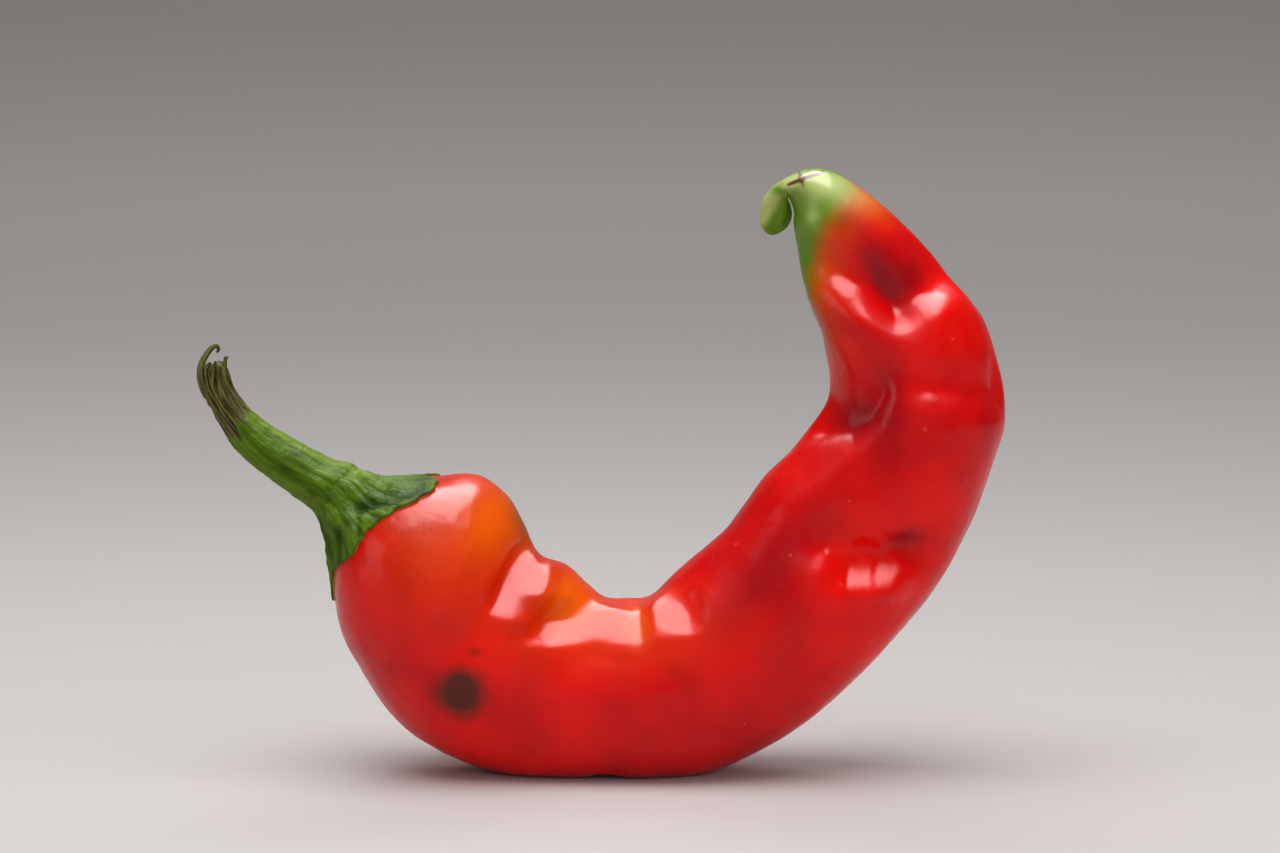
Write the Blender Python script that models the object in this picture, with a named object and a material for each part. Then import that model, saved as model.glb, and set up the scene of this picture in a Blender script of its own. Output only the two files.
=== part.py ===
"""A whole red chilli pepper with its green calyx and stalk, lying on its belly.

The pod bends into a wide C that opens upwards. Its stalk end is a round bulb on the left and its tip curls
over at the top right. Units are metres, +Z is up, and the part rests on Z = 0 with its box centred on the
origin.
"""

import math

import bmesh
import bpy
from mathutils import Vector

MM = 0.001

# Where the pod starts under the calyx and where its tip ends, as (x, z) in millimetres.
STALK_END = (-33.8, 36.1)
TIP_END = (22.7, 75.2)

# The pod's sections, from the stalk end to the tip, in millimetres: the outer side of the bend (x, z), the
# inner side of the bend (x, z), and half of the depth along Y.
SECTIONS = (
    ((-36.5, 31.0), (-29.0, 40.0), 8.0),
    ((-37.4, 26.0), (-22.8, 41.6), 11.8),
    ((-36.5, 20.0), (-17.2, 41.6), 13.8),
    ((-34.0, 15.0), (-13.2, 38.8), 14.9),
    ((-30.6, 9.5), (-10.9, 35.0), 15.2),
    ((-26.0, 5.0), (-8.6, 30.8), 14.8),
    ((-20.0, 1.6), (-5.0, 29.2), 14.0),
    ((-13.7, -0.4), (-2.0, 26.3), 13.3),
    ((-7.0, -1.2), (0.4, 24.5), 13.2),
    ((0.0, -1.4), (3.6, 24.3), 13.3),
    ((7.5, -1.3), (6.7, 24.8), 13.6),
    ((14.5, -0.3), (9.9, 27.6), 13.7),
    ((21.4, 2.7), (13.5, 30.9), 13.5),
    ((27.7, 6.4), (17.3, 34.3), 13.3),
    ((33.7, 11.5), (20.0, 37.9), 13.1),
    ((39.1, 17.1), (23.2, 42.3), 12.9),
    ((44.5, 23.4), (26.7, 45.6), 12.7),
    ((48.5, 29.3), (29.8, 49.7), 12.5),
    ((51.6, 35.6), (31.3, 52.4), 12.3),
    ((54.0, 42.3), (31.6, 54.5), 12.0),
    ((56.1, 50.3), (31.4, 57.5), 11.6),
    ((55.1, 57.5), (30.5, 61.5), 11.1),
    ((52.7, 63.8), (29.1, 64.8), 10.4),
    ((48.8, 69.2), (27.9, 68.3), 9.8),
    ((44.5, 74.2), (27.2, 72.7), 8.4),
    ((40.0, 78.3), (26.5, 76.6), 6.8),
    ((36.3, 81.2), (26.1, 78.7), 5.5),
    ((33.0, 83.4), (25.9, 79.8), 4.4),
    ((29.3, 84.6), (25.7, 80.1), 3.6),
    ((26.0, 84.0), (25.5, 79.9), 3.1),
    ((23.3, 81.9), (25.2, 79.2), 2.8),
    ((22.0, 79.0), (24.8, 77.9), 2.4),
    ((21.9, 76.6), (24.4, 76.3), 1.8),
)
POD_SIDES = 24
POD_RINGS = 54

# How far the calyx reaches along the pod, counted in sections, at twelve equal steps round it.
CALYX_REACH = (2.35, 1.5, 1.8, 1.45, 1.75, 2.0, 2.1, 1.6, 1.9, 1.5, 1.85, 1.55)
CALYX_THICKNESS = 1.1
CALYX_EDGE_THINNING = 0.4
CALYX_SIDES = 24
CALYX_RINGS = 16
TOUCHING_GAP = 0.3

# The calyx's mesh runs from the middle of the neck's flat top, over the neck's rim and the outer skin to the
# lobed edge, and back underneath: the shares of that way where the rim and the edge lie.
NECK_RIM_SHARE = 0.125
CALYX_EDGE_SHARE = 0.55
# The share of the outer skin that flares out from the neck, and how much longer it is on the bend's inner side.
FLARE_SHARE = 0.65
FLARE_TILT = 0.2
# The pod's outward direction isn't defined at its very end, so it is read no nearer than this many sections.
NEAREST_OUTWARD = 0.15
OUTWARD_STEP = 0.02

# The neck of the calyx, where the stalk sits: its middle (x, z), radius and direction, in millimetres.
NECK_CENTRE = (-38.9, 40.3)
NECK_RADIUS = 3.8
NECK_DIRECTION = Vector((-0.84, 0.0, 0.54)).normalized()

# The stalk's middle line (x, z) and radius, from just above the neck to the torn end, in millimetres.
STALK = (
    ((-42.3, 42.6), 3.5),
    ((-45.0, 44.2), 3.2),
    ((-47.7, 46.1), 3.0),
    ((-49.4, 47.8), 2.7),
    ((-51.0, 49.7), 2.4),
    ((-52.3, 51.4), 2.15),
    ((-53.4, 53.2), 2.1),
    ((-54.1, 55.2), 1.9),
)
# The fibres that stand out of the torn end: middle line (x, y, z), then the first and last radius.
TORN_FIBRES = (
    (((-54.6, -0.2, 53.0), (-55.4, -0.2, 56.6), (-55.1, -0.1, 58.4), (-54.0, 0.0, 59.7)), 1.0, 0.4),
    (((-54.0, 0.3, 53.0), (-54.4, 0.2, 55.5), (-54.4, 0.1, 57.6)), 1.1, 0.6),
    (((-53.1, -0.1, 53.0), (-52.9, -0.2, 55.5), (-52.4, -0.3, 57.8)), 1.0, 0.5),
)
CAP_MERGE_DISTANCE = 1e-6
STALK_BEVEL_RESOLUTION = 3
FIBRE_BEVEL_RESOLUTION = 1

RED_SKIN = ((0.60, 0.012, 0.008, 1.0), 0.22)
CALYX_GREEN = ((0.075, 0.16, 0.022, 1.0), 0.5)
STALK_GREEN = ((0.13, 0.25, 0.035, 1.0), 0.45)


def remove_scene_objects():
    for scene_object in list(bpy.data.objects):
        bpy.data.objects.remove(scene_object, do_unlink=True)


def make_collection(name):
    collection = bpy.data.collections.new(name)
    bpy.context.scene.collection.children.link(collection)
    return collection


def make_material(name, look):
    colour, roughness = look
    material = bpy.data.materials.new(name)
    material.use_nodes = True
    shader = material.node_tree.nodes["Principled BSDF"]
    shader.inputs["Base Color"].default_value = colour
    shader.inputs["Roughness"].default_value = roughness
    shader.inputs["Metallic"].default_value = 0.0
    return material


def loop_value(values, place):
    """Value at a place along a closed Catmull-Rom spline, one unit from each value to the next."""
    count = len(values)
    start = math.floor(place)
    t = place - start
    before, here, after, beyond = (values[(start + step) % count] for step in (-1, 0, 1, 2))
    return 0.5 * (
        2.0 * here
        + (after - before) * t
        + (2.0 * before - 5.0 * here + 4.0 * after - beyond) * t**2
        + (3.0 * here - before - 3.0 * after + beyond) * t**3
    )


def flat_point(pair):
    return Vector((pair[0], 0.0, pair[1]))


def pod_outline():
    """The pod's side outline: down the outer side of the bend and back along the inner side."""
    outer = [flat_point(section[0]) for section in SECTIONS]
    inner = [flat_point(section[1]) for section in reversed(SECTIONS)]
    return [flat_point(STALK_END), *outer, flat_point(TIP_END), *inner]


def pod_half_depths():
    """Half depths along the same loop, with the sign turned on the way back so that both ends are round."""
    depths = [section[2] for section in SECTIONS]
    return [0.0, *depths, 0.0, *(-depth for depth in reversed(depths))]


POD_OUTLINE = pod_outline()
POD_HALF_DEPTHS = pod_half_depths()
POD_LENGTH = len(SECTIONS) + 1


def pod_point(place, angle):
    """Point of the pod's skin in millimetres: place counts sections, and angle 0 is the bend's outer side."""
    outer = loop_value(POD_OUTLINE, place)
    inner = loop_value(POD_OUTLINE, 2 * POD_LENGTH - place)
    depth = loop_value(POD_HALF_DEPTHS, place)
    middle = (outer + inner) / 2
    return middle + (outer - inner) / 2 * math.cos(angle) + Vector((0.0, -depth * math.sin(angle), 0.0))


def pod_outward(place, angle):
    """Unit vector that points out of the pod's skin."""
    place = max(place, NEAREST_OUTWARD)
    along = pod_point(place + OUTWARD_STEP, angle) - pod_point(place - OUTWARD_STEP, angle)
    around = pod_point(place, angle + OUTWARD_STEP) - pod_point(place, angle - OUTWARD_STEP)
    outward = along.cross(around).normalized()
    middle = (pod_point(place, 0.0) + pod_point(place, math.pi)) / 2
    from_middle = pod_point(place, angle) - middle
    return outward if outward.dot(from_middle) > 0 else -outward


def warped_sphere(sides, rings, place_on_surface):
    """A UV sphere whose every vertex moves to place_on_surface(share from pole to pole, angle), in mm."""
    mesh = bmesh.new()
    bmesh.ops.create_uvsphere(mesh, u_segments=sides, v_segments=rings, radius=1.0)
    for vertex in mesh.verts:
        share = math.acos(max(-1.0, min(1.0, vertex.co.z))) / math.pi
        angle = math.atan2(vertex.co.y, vertex.co.x)
        vertex.co = place_on_surface(share, angle) * MM
    return mesh


def finish_object(mesh, name, look, collection):
    """Turns the faces outwards and links the mesh as a smooth object with its own material."""
    bmesh.ops.recalc_face_normals(mesh, faces=mesh.faces)
    data = bpy.data.meshes.new(name)
    mesh.to_mesh(data)
    mesh.free()
    data.shade_smooth()
    data.materials.append(make_material(name, look))
    piece = bpy.data.objects.new(name, data)
    collection.objects.link(piece)
    return piece


def cut_flat_underneath(mesh):
    """Cuts off what would hang below Z = 0 and closes the cut with one flat face to rest on."""
    everything = [*mesh.verts, *mesh.edges, *mesh.faces]
    bmesh.ops.bisect_plane(
        mesh, geom=everything, dist=1e-7, plane_co=(0, 0, 0), plane_no=(0, 0, -1), clear_outer=True
    )
    rim = [edge for edge in mesh.edges if edge.is_boundary]
    bmesh.ops.contextual_create(mesh, geom=rim)


def make_pod(collection):
    mesh = warped_sphere(POD_SIDES, POD_RINGS, lambda share, angle: pod_point(share * POD_LENGTH, angle))
    cut_flat_underneath(mesh)
    return finish_object(mesh, "pod", RED_SKIN, collection)


def neck_point(share_of_radius, angle):
    """Point on the flat top of the calyx's neck."""
    towards_outer = Vector((-NECK_DIRECTION.z, 0.0, NECK_DIRECTION.x))
    ring = towards_outer * math.cos(angle) + Vector((0.0, -math.sin(angle), 0.0))
    return flat_point(NECK_CENTRE) + ring * NECK_RADIUS * share_of_radius


def above_pod(place, angle, height):
    """Point at a height in millimetres above the pod's skin."""
    return pod_point(place, angle) + pod_outward(place, angle) * height


def calyx_point(share, angle):
    """Point of the calyx, at a share of the way from the neck's top to the middle of its underside."""
    reach = loop_value(CALYX_REACH, angle / (2 * math.pi) * len(CALYX_REACH))
    if share <= NECK_RIM_SHARE:
        return neck_point(share / NECK_RIM_SHARE, angle)
    if share >= CALYX_EDGE_SHARE:
        place = reach * (1.0 - share) / (1.0 - CALYX_EDGE_SHARE)
        return above_pod(place, angle, TOUCHING_GAP)
    down = (share - NECK_RIM_SHARE) / (CALYX_EDGE_SHARE - NECK_RIM_SHARE)
    thickness = CALYX_THICKNESS * (1.0 - CALYX_EDGE_THINNING * down)
    on_pod = above_pod(reach * down, angle, TOUCHING_GAP + thickness)
    flare = min(1.0, down / (FLARE_SHARE - FLARE_TILT * math.cos(angle)))
    blend = flare * flare * (3.0 - 2.0 * flare)
    return neck_point(1.0, angle).lerp(on_pod, blend)


def make_calyx(collection):
    mesh = warped_sphere(CALYX_SIDES, CALYX_RINGS, calyx_point)
    return finish_object(mesh, "calyx", CALYX_GREEN, collection)


def tube_mesh(name, points, radii, bevel_resolution):
    """Closed mesh of a tapering tube along points, all in millimetres."""
    curve = bpy.data.curves.new(name, "CURVE")
    curve.dimensions = "3D"
    curve.bevel_depth = MM
    curve.bevel_resolution = bevel_resolution
    curve.use_fill_caps = True
    spline = curve.splines.new("POLY")
    spline.points.add(len(points) - 1)
    for control, point, radius in zip(spline.points, points, radii, strict=True):
        control.co = (*(point * MM), 1.0)
        control.radius = radius
    curve_object = bpy.data.objects.new(name, curve)
    bpy.context.scene.collection.objects.link(curve_object)
    bpy.context.view_layer.update()
    evaluated = curve_object.evaluated_get(bpy.context.evaluated_depsgraph_get())
    data = bpy.data.meshes.new_from_object(evaluated)
    bpy.data.objects.remove(curve_object, do_unlink=True)
    mesh = bmesh.new()
    mesh.from_mesh(data)
    bpy.data.meshes.remove(data)
    bmesh.ops.remove_doubles(mesh, verts=mesh.verts, dist=CAP_MERGE_DISTANCE)
    return mesh


def stalk_line():
    """The stalk's middle line and radii, starting on the neck with the gap that touching pieces keep."""
    start = flat_point(NECK_CENTRE) + NECK_DIRECTION * TOUCHING_GAP
    points = [start, *(flat_point(middle) for middle, _ in STALK)]
    radii = [NECK_RADIUS, *(radius for _, radius in STALK)]
    return points, radii


def add_fibre(stalk, number, fibre, cutters):
    """Joins one torn fibre to the stalk with a Boolean union."""
    line, first_radius, last_radius = fibre
    points = [Vector(point) for point in line]
    last = len(points) - 1
    radii = [first_radius + (last_radius - first_radius) * place / last for place in range(len(points))]
    mesh = tube_mesh(f"fibre_{number}", points, radii, FIBRE_BEVEL_RESOLUTION)
    fibre_object = finish_object(mesh, f"fibre_{number}", STALK_GREEN, cutters)
    fibre_object.hide_render = True
    fibre_object.display_type = "WIRE"
    union = stalk.modifiers.new(f"fibre_{number}", "BOOLEAN")
    union.operation = "UNION"
    union.solver = "EXACT"
    union.object = fibre_object


def make_stem(collection, cutters):
    points, radii = stalk_line()
    mesh = tube_mesh("stem", points, radii, STALK_BEVEL_RESOLUTION)
    stem = finish_object(mesh, "stem", STALK_GREEN, collection)
    for number, fibre in enumerate(TORN_FIBRES, start=1):
        add_fibre(stem, number, fibre, cutters)
    return stem


def main():
    remove_scene_objects()
    collection = make_collection("chilli_pepper")
    cutters = make_collection("chilli_pepper_joined_shapes")
    make_pod(collection)
    make_calyx(collection)
    make_stem(collection, cutters)


main()
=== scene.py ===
"""Looks of a large red chilli pepper: a dented glossy pod, its calyx and its torn stalk, in a soft studio.

Lengths in the shape classes are millimetres in the row frame, and meshes are written in metres.
"""

import logging
import math
from collections.abc import Callable, Mapping, Sequence
from dataclasses import dataclass
from enum import Enum
from typing import Any

import bmesh
import bpy
import numpy as np
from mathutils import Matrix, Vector, noise


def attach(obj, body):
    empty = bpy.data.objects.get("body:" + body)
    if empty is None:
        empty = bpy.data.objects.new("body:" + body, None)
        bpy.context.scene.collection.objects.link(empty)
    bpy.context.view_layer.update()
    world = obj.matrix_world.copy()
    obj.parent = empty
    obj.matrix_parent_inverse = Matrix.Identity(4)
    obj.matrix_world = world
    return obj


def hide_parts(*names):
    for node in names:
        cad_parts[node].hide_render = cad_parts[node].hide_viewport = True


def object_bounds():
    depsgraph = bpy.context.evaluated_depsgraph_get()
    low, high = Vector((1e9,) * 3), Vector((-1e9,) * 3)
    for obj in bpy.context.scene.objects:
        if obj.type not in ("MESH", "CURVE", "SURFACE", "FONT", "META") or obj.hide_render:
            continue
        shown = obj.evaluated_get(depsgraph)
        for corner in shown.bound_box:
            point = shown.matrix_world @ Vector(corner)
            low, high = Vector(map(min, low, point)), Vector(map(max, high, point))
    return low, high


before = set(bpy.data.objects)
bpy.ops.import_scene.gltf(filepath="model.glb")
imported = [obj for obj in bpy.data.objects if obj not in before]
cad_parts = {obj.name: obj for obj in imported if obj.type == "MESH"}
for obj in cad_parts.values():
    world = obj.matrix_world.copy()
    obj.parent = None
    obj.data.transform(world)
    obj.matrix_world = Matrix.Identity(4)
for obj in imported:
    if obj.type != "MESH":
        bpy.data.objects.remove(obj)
CAD_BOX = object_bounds()

log = logging.getLogger("chilli_pepper")

MM = 0.001
# Further than any distance on the pepper, in millimetres.
FAR = 1e9
Pair = tuple[float, float]
Triple = tuple[float, float, float]


# --------------------------------------------------------------------------------------------- small helpers


def linear(hex_colour: str) -> tuple[float, float, float, float]:
    """Turns an sRGB hex colour into a linear one.

    Args:
        hex_colour: Six hex digits after a hash sign.

    Returns:
        Linear red, green, blue and an alpha of one.
    """
    parts = [int(hex_colour[start : start + 2], 16) / 255 for start in (1, 3, 5)]
    red, green, blue = (p / 12.92 if p <= 0.04045 else ((p + 0.055) / 1.055) ** 2.4 for p in parts)
    return red, green, blue, 1.0


def share_between(values: np.ndarray, low: float, high: float) -> np.ndarray:
    """Share of the way from low to high, held between 0 and 1."""
    return np.clip((values - low) / (high - low), 0.0, 1.0)


def smooth_step(values: np.ndarray, low: float, high: float) -> np.ndarray:
    """Eases from 0 at low to 1 at high.

    Args:
        values: Numbers to ease.
        low: Where the result is 0.
        high: Where the result is 1; it may be below low.

    Returns:
        The eased numbers.
    """
    share = share_between(values, low, high)
    return share * share * (3.0 - 2.0 * share)


def band(angle: np.ndarray, middle: float, half_width: float) -> np.ndarray:
    """A soft lengthwise band on both sides of a round body: 1 at the middle angle, fading to 0."""
    return np.exp(-(((np.abs(angle) - middle) / half_width) ** 2))


def catmull_rom(controls: Sequence[np.ndarray], t: np.ndarray) -> np.ndarray:
    """Runs smoothly between the second and third of four control rows, as t goes from 0 to 1."""
    before, here, after, beyond = controls
    return 0.5 * (
        2.0 * here
        + (after - before) * t
        + (2.0 * before - 5.0 * here + 4.0 * after - beyond) * t**2
        + (3.0 * here - before - 3.0 * after + beyond) * t**3
    )


def along_spline(values: np.ndarray, place: np.ndarray) -> np.ndarray:
    """Reads a closed Catmull-Rom spline.

    Args:
        values: One row for each control value, a unit of place apart.
        place: Places along the spline.

    Returns:
        One row for each place.
    """
    start = np.floor(place).astype(int)
    controls = [values[(start + step) % len(values)] for step in (-1, 0, 1, 2)]
    return catmull_rom(controls, (place - start)[:, None])


def unit(vectors: np.ndarray) -> np.ndarray:
    """Scales each row to length one."""
    return vectors / np.maximum(np.linalg.norm(vectors, axis=1, keepdims=True), 1e-9)


def warped_sphere(
    sides: int, rings: int, surface: Callable[[np.ndarray, np.ndarray], np.ndarray]
) -> tuple[bmesh.types.BMesh, np.ndarray, np.ndarray]:
    """Starts from a UV sphere and moves each vertex onto a surface.

    Args:
        sides: Segments round the sphere.
        rings: Segments from pole to pole.
        surface: Gives points in millimetres from the share of the way between the poles and the angle.

    Returns:
        The mesh, and each vertex's share and angle.
    """
    mesh = bmesh.new()
    bmesh.ops.create_uvsphere(mesh, u_segments=sides, v_segments=rings, radius=1.0)
    start = np.array([vertex.co for vertex in mesh.verts])
    share = np.arccos(np.clip(start[:, 2], -1.0, 1.0)) / math.pi
    angle = np.arctan2(start[:, 1], start[:, 0])
    for vertex, point in zip(mesh.verts, surface(share, angle) * MM, strict=True):
        vertex.co = point
    bmesh.ops.recalc_face_normals(mesh, faces=mesh.faces)
    return mesh, share, angle


def finish_piece(
    mesh: bmesh.types.BMesh,
    name: str,
    material: bpy.types.Material,
    painted: Mapping[str, np.ndarray],
    nodes: Sequence[str],
) -> bpy.types.Object:
    """Makes a smooth object at the origin, paints its attributes and ties it to the frame.

    Args:
        mesh: The finished mesh, which is freed.
        name: The object's name.
        material: Its material.
        painted: Attribute names with one number, or one row of three, for each vertex.
        nodes: CAD nodes that the piece stands for.

    Returns:
        The object.
    """
    data = bpy.data.meshes.new(name)
    mesh.to_mesh(data)
    mesh.free()
    data.shade_smooth()
    data.materials.append(material)
    for attribute_name, values in painted.items():
        kind, key = ("FLOAT", "value") if values.ndim == 1 else ("FLOAT_VECTOR", "vector")
        attribute = data.attributes.new(attribute_name, kind, "POINT")
        attribute.data.foreach_set(key, values.astype(np.float32).ravel())
    piece = bpy.data.objects.new(name, data)
    bpy.context.scene.collection.objects.link(piece)
    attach(piece, "root")
    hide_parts(*nodes)
    return piece


# ------------------------------------------------------------------------------------------- surface reliefs


class Side(Enum):
    """Which side of the pepper a mark is on."""

    FRONT = -1.0
    BACK = 1.0
    BOTH = 0.0

    def weight(self, outward: np.ndarray) -> np.ndarray:
        """Share of the mark that each point takes, from the outward directions."""
        if self is Side.BOTH:
            return np.ones(len(outward))
        return smooth_step(outward[:, 1] * self.value, -0.1, 0.35)


def in_ellipse(points: np.ndarray, middle: Pair, radii: Pair, degrees: float) -> tuple[np.ndarray, np.ndarray]:
    """Places points in a turned ellipse on the side view.

    Args:
        points: Points on the skin.
        middle: The ellipse's middle.
        radii: Its radii.
        degrees: Its turn.

    Returns:
        Each point's distances along the two radii, as shares of them.
    """
    along, up = points[:, 0] - middle[0], points[:, 2] - middle[1]
    turn = math.radians(degrees)
    first = (along * math.cos(turn) + up * math.sin(turn)) / radii[0]
    second = (up * math.cos(turn) - along * math.sin(turn)) / radii[1]
    return first, second


@dataclass(frozen=True)
class Swelling:
    """A smooth rise, or a dent where the height is negative, seen from the side as a turned ellipse."""

    middle: Pair
    radii: Pair
    height: float
    turn: float = 0.0
    side: Side = Side.FRONT

    def at(self, points: np.ndarray, outward: np.ndarray) -> np.ndarray:
        """Height at each point, in millimetres.

        Args:
            points: Points on the skin.
            outward: The skin's outward directions there.

        Returns:
            One height for each point.
        """
        first, second = in_ellipse(points, self.middle, self.radii, self.turn)
        return self.height * np.exp(-(first**2) - second**2) * self.side.weight(outward)


@dataclass(frozen=True)
class Crease:
    """A groove along a line, or a ridge where the depth is negative, with its own width on each side."""

    line: tuple[Pair, ...]
    depth: float
    width_above: float
    width_below: float
    bottom: float = 0.3
    side: Side = Side.FRONT

    def at(self, points: np.ndarray, outward: np.ndarray) -> np.ndarray:
        """Height at each point, in millimetres: negative in the groove.

        Args:
            points: Points on the skin.
            outward: The skin's outward directions there.

        Returns:
            One height for each point.
        """
        flat = points[:, [0, 2]]
        nearest = np.full(len(flat), FAR)
        above = np.zeros(len(flat))
        for start, end in zip(self.line, self.line[1:], strict=False):
            a, b = np.array(start), np.array(end)
            step = b - a
            share = np.clip((flat - a) @ step / (step @ step), 0.0, 1.0)
            offset = flat - (a + share[:, None] * step)
            distance = np.linalg.norm(offset, axis=1)
            closer = distance < nearest
            nearest = np.where(closer, distance, nearest)
            normal = np.array([-step[1], step[0]]) * (1.0 if step[0] >= 0 else -1.0)
            normal = normal / np.linalg.norm(normal)
            lean = np.clip((offset @ normal) / np.maximum(distance, 1e-6), -1.0, 1.0)
            above = np.where(closer, lean, above)
        width = self.width_below + (self.width_above - self.width_below) * (0.5 + 0.5 * above)
        rounded = np.sqrt(nearest**2 + self.bottom**2) - self.bottom
        wall_curve = 1.5
        return -self.depth * np.exp(-((rounded / width) ** wall_curve)) * self.side.weight(outward)


@dataclass(frozen=True)
class Facet:
    """A flattened patch whose face leans up and to the right by set angles."""

    middle: Pair
    radii: Pair
    rise: float
    turn: float = 0.0
    lean: float = 0.0
    sink: float = 0.3
    softness: float = 0.35
    side: Side = Side.FRONT

    def at(self, points: np.ndarray, outward: np.ndarray) -> np.ndarray:
        """Height that brings each point of the patch onto its plane, in millimetres.

        Args:
            points: Points on the skin.
            outward: The skin's outward directions there.

        Returns:
            One height for each point.
        """
        first, second = in_ellipse(points, self.middle, self.radii, self.turn)
        reach = (first**4 + second**4) ** 0.25
        inside = smooth_step(reach, 1.0 + self.softness, 1.0 - self.softness)
        facing = outward[:, 1] * self.side.value > 0.05
        from_middle = np.sum((points[:, [0, 2]] - self.middle) ** 2, axis=1)
        nearest = int(np.argmin(np.where(facing, from_middle, FAR)))
        rise, lean = math.radians(self.rise), math.radians(self.lean)
        normal = np.array(
            [
                math.sin(lean) * math.cos(rise),
                self.side.value * math.cos(lean) * math.cos(rise),
                math.sin(rise),
            ]
        )
        anchor = points[nearest] - outward[nearest] * self.sink
        least_slope, deepest, highest = 0.35, -3.0, 1.5
        height = ((anchor - points) @ normal) / np.maximum(outward @ normal, least_slope)
        return np.clip(height, deepest, highest) * inside * self.side.weight(outward)


Relief = Swelling | Crease | Facet


def lumps(points: np.ndarray, spacing: float) -> np.ndarray:
    """Smooth irregular heights between -1 and 1.

    Args:
        points: Points in millimetres.
        spacing: Distance between lumps, in millimetres.

    Returns:
        One height for each point.
    """
    return np.array([noise.noise(Vector(point)) for point in points / spacing])


def uneven(layers: Sequence[Pair], points: np.ndarray) -> np.ndarray:
    """Adds up layers of lumps, each given by its height and spacing in millimetres."""
    return sum(height * lumps(points, spacing) for height, spacing in layers)


def total_height(reliefs: Sequence[Relief], points: np.ndarray, outward: np.ndarray) -> np.ndarray:
    """Adds up the reliefs' heights at each point."""
    return sum((relief.at(points, outward) for relief in reliefs), np.zeros(len(points)))


# ---------------------------------------------------------------------------------------------------- shapes


@dataclass(frozen=True)
class Section:
    """One cross-section: its outer and inner ends on the side view, half of its depth, and its Y."""

    outer: Pair
    inner: Pair
    half_depth: float
    shift: float = 0.0


@dataclass(frozen=True)
class Loft:
    """A closed body that runs through sections from one rounded end to the other."""

    start: Pair
    end: Pair
    sections: tuple[Section, ...]

    @property
    def length(self) -> int:
        """Number of sections' steps from end to end."""
        return len(self.sections) + 1

    def _outline(self) -> np.ndarray:
        """The closed outline on the side view, out along the outer side and back along the inner."""
        outer = [section.outer for section in self.sections]
        inner = [section.inner for section in reversed(self.sections)]
        return np.array([self.start, *outer, self.end, *inner])

    def _half_depths(self) -> np.ndarray:
        """Half depths in the outline's order, negative on the way back, so that both ends are round."""
        depths = [section.half_depth for section in self.sections]
        return np.array([0.0, *depths, 0.0, *(-depth for depth in reversed(depths))])[:, None]

    def _shifts(self) -> np.ndarray:
        """Each section's Y, in the outline's order."""
        shifts = [section.shift for section in self.sections]
        return np.array([shifts[0], *shifts, shifts[-1], *reversed(shifts)])[:, None]

    def surface(self, place: np.ndarray, angle: np.ndarray) -> np.ndarray:
        """Points on the skin.

        Args:
            place: Places counted in sections.
            angle: Angles round the section, 0 on the outer side and a quarter turn on the front.

        Returns:
            One point in millimetres for each place.
        """
        outline, depths = self._outline(), self._half_depths()
        outer = along_spline(outline, place)
        inner = along_spline(outline, 2 * self.length - place)
        flat = (outer + inner) / 2 + (outer - inner) / 2 * np.cos(angle)[:, None]
        depth = -along_spline(depths, place)[:, 0] * np.sin(angle)
        depth = depth + along_spline(self._shifts(), place)[:, 0]
        return np.stack([flat[:, 0], depth, flat[:, 1]], axis=1)

    def tangent(self, place: np.ndarray, angle: np.ndarray) -> np.ndarray:
        """Unit directions along the skin, towards the end."""
        step = 0.02
        return unit(self.surface(place + step, angle) - self.surface(place - step, angle))

    def outward(self, place: np.ndarray, angle: np.ndarray) -> np.ndarray:
        """Unit directions out of the skin."""
        margin, step = 0.03, 0.02
        place = np.clip(place, margin, self.length - margin)
        around = self.surface(place, angle + step) - self.surface(place, angle - step)
        out = unit(np.cross(self.tangent(place, angle), around))
        half_turn = self.surface(place, angle + math.pi)
        facing = np.sum(out * (self.surface(place, angle) - half_turn), axis=1)
        return out * np.where(facing < 0, -1.0, 1.0)[:, None]


# ------------------------------------------------------------------------------------------------- materials


class NodeTree:
    """A material's node tree, with one method that adds a node."""

    def __init__(self, name: str) -> None:
        """Makes a material of this name with an empty Principled shader."""
        self.material = bpy.data.materials.new(name)
        self.material.use_nodes = True
        self.tree = self.material.node_tree
        self.shader = self.tree.nodes["Principled BSDF"]

    def add(self, kind: str, inputs: Mapping[Any, Any] | None = None, **settings: Any) -> bpy.types.Node:
        """Adds one node.

        Args:
            kind: The node's type name.
            inputs: Socket names or numbers, with a value or an output socket to link.
            settings: The node's own properties.

        Returns:
            The node.
        """
        node = self.tree.nodes.new(kind)
        for name, value in settings.items():
            setattr(node, name, value)
        self.set(node, inputs or {})
        return node

    def set(self, node: bpy.types.Node, inputs: Mapping[Any, Any]) -> None:
        """Sets or links a node's inputs."""
        for key, value in inputs.items():
            if isinstance(value, bpy.types.NodeSocket):
                self.tree.links.new(value, node.inputs[key])
            else:
                node.inputs[key].default_value = value

    def layered(self, tone: Any, layers: Sequence[tuple[Any, Any]]) -> bpy.types.NodeSocket:
        """Lays tones over one another.

        Args:
            tone: The lowest tone, as a colour or a socket.
            layers: Each layer's share and tone. A share is a socket, or the name of a painted attribute.

        Returns:
            The finished tone.
        """
        for share, layer_tone in layers:
            if isinstance(share, str):
                share = self.add("ShaderNodeAttribute", attribute_name=share).outputs["Fac"]
            mix = self.add("ShaderNodeMix", {0: share, 6: tone, 7: layer_tone}, data_type="RGBA")
            tone = mix.outputs[2]
        return tone


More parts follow.
